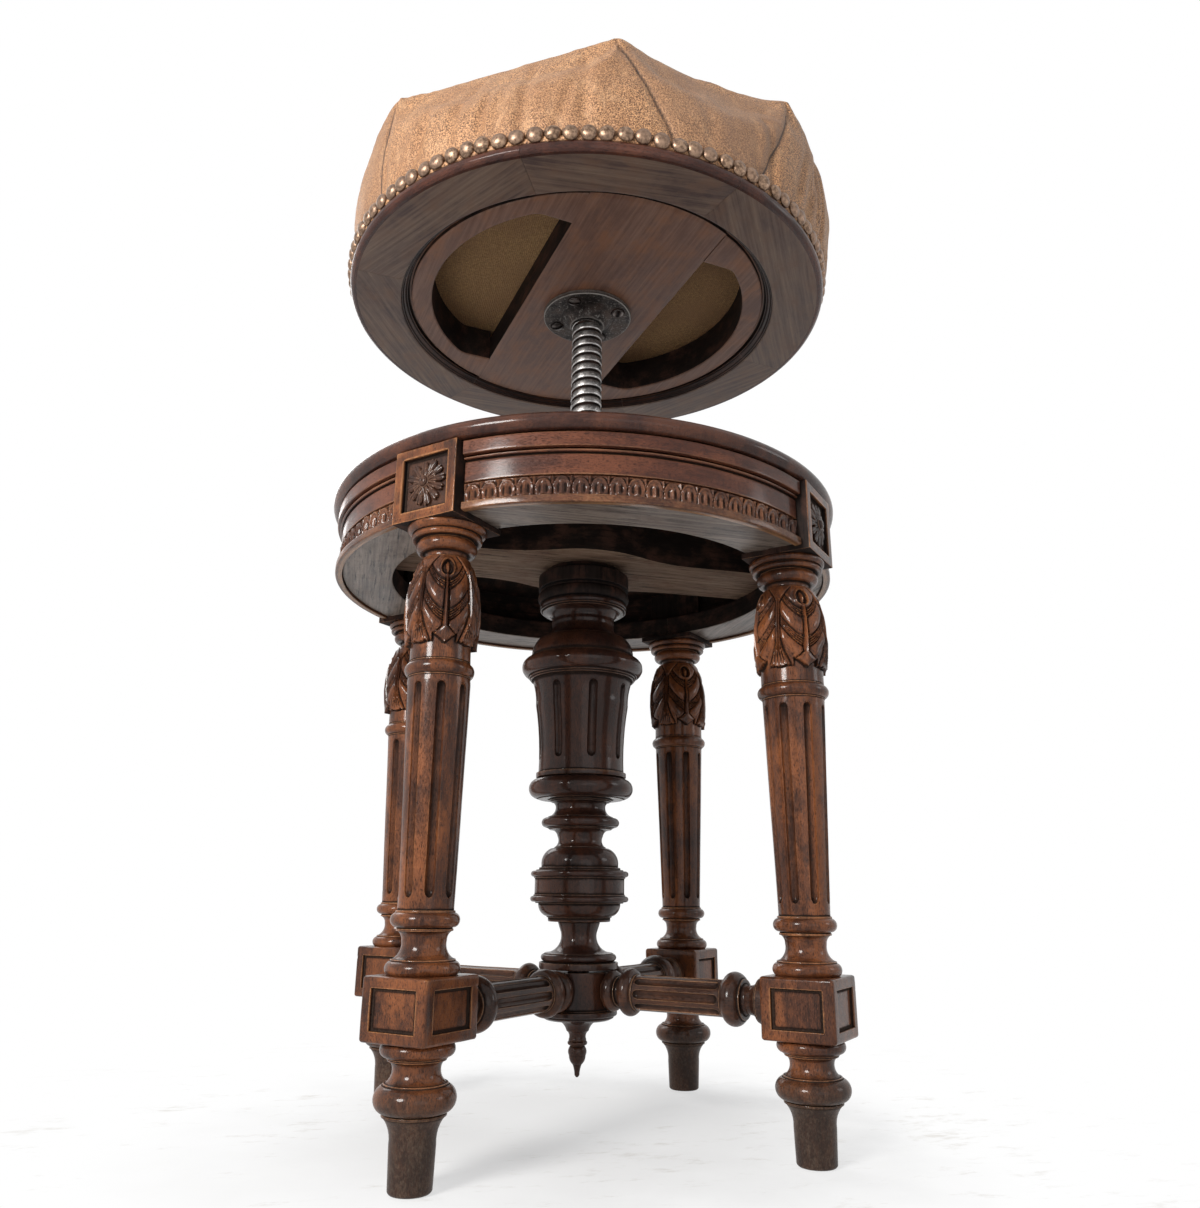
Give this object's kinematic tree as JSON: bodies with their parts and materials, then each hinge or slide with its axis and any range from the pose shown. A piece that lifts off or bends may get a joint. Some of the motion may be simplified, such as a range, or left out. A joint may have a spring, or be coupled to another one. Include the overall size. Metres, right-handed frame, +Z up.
{
  "type": "revolving piano stool",
  "caption": "Turned and carved piano stool whose round, leather-covered seat rises on a lead screw in a centre column.",
  "frame": {"origin": "on the floor, under the axis of the lead screw", "axes": "+Z up along the lead screw, +X to the right and +Y to the back, with the four legs on the diagonals"},
  "size_m": [0.3744, 0.3744, 0.718],
  "materials": {
    "mahogany": "dark red-brown polish, worn at the edges",
    "worn_mahogany": "polish rubbed through to the warm wood",
    "raw_wood": "unpolished and grey-brown with age",
    "dark_iron": "dark, pitted",
    "bright_iron": "worn bright on the crests of the thread",
    "burlap": "coarse open weave",
    "leather": "tan, matt, finely mottled",
    "nail_brass": "antique, domed heads"
  },
  "bodies": {
    "stand": {"leg_back_right": "mahogany", "leg_back_left": "mahogany", "leg_front_left": "mahogany", "leg_front_right": "mahogany", "rosette_back_right": "worn_mahogany", "rosette_back_left": "worn_mahogany", "rosette_front_left": "worn_mahogany", "rosette_front_right": "worn_mahogany", "stretcher_back_right": "mahogany", "stretcher_back_left": "mahogany", "stretcher_front_left": "mahogany", "stretcher_front_right": "mahogany", "apron_rail_right": "mahogany", "apron_rail_back": "mahogany", "apron_rail_left": "mahogany", "apron_rail_front": "mahogany", "leaf_band_right": "mahogany", "leaf_band_back": "mahogany", "leaf_band_left": "mahogany", "leaf_band_front": "mahogany", "ring_board": "raw_wood", "top_board": "mahogany", "cross_bar": "raw_wood", "column": "mahogany", "hub": "mahogany", "finial": "mahogany", "screw_nut": "dark_iron", "nut_screw_right": "dark_iron", "nut_screw_back": "dark_iron", "nut_screw_left": "dark_iron", "nut_screw_front": "dark_iron"},
    "stop": {"stop_washer": "bright_iron"},
    "seat": {"seat_ring": "raw_wood", "seat_plank": "raw_wood", "screw_flange": "dark_iron", "flange_screw_right": "dark_iron", "flange_screw_back": "dark_iron", "flange_screw_left": "dark_iron", "flange_screw_front": "dark_iron", "lead_screw": "bright_iron", "end_nut": "dark_iron", "seat_canvas": "burlap", "leather_border": "leather", "seat_cushion": "leather"}
  },
  "joints": [
    {"name": "seat_lift", "type": "slide", "parent": "stand", "child": "stop", "axis": [0, 0, 1], "range_m": [-0.16792, 0.0055]},
    {"name": "seat_turn", "type": "hinge", "parent": "stop", "child": "seat", "pos_m": [0, 0, 0.37], "axis": [0, 0, 1], "range_deg": [-8280, 270]}
  ],
  "couplings": [
    {"joint": "seat_lift", "follows": "seat_turn", "m_per_rad": 0.0011618}
  ]
}
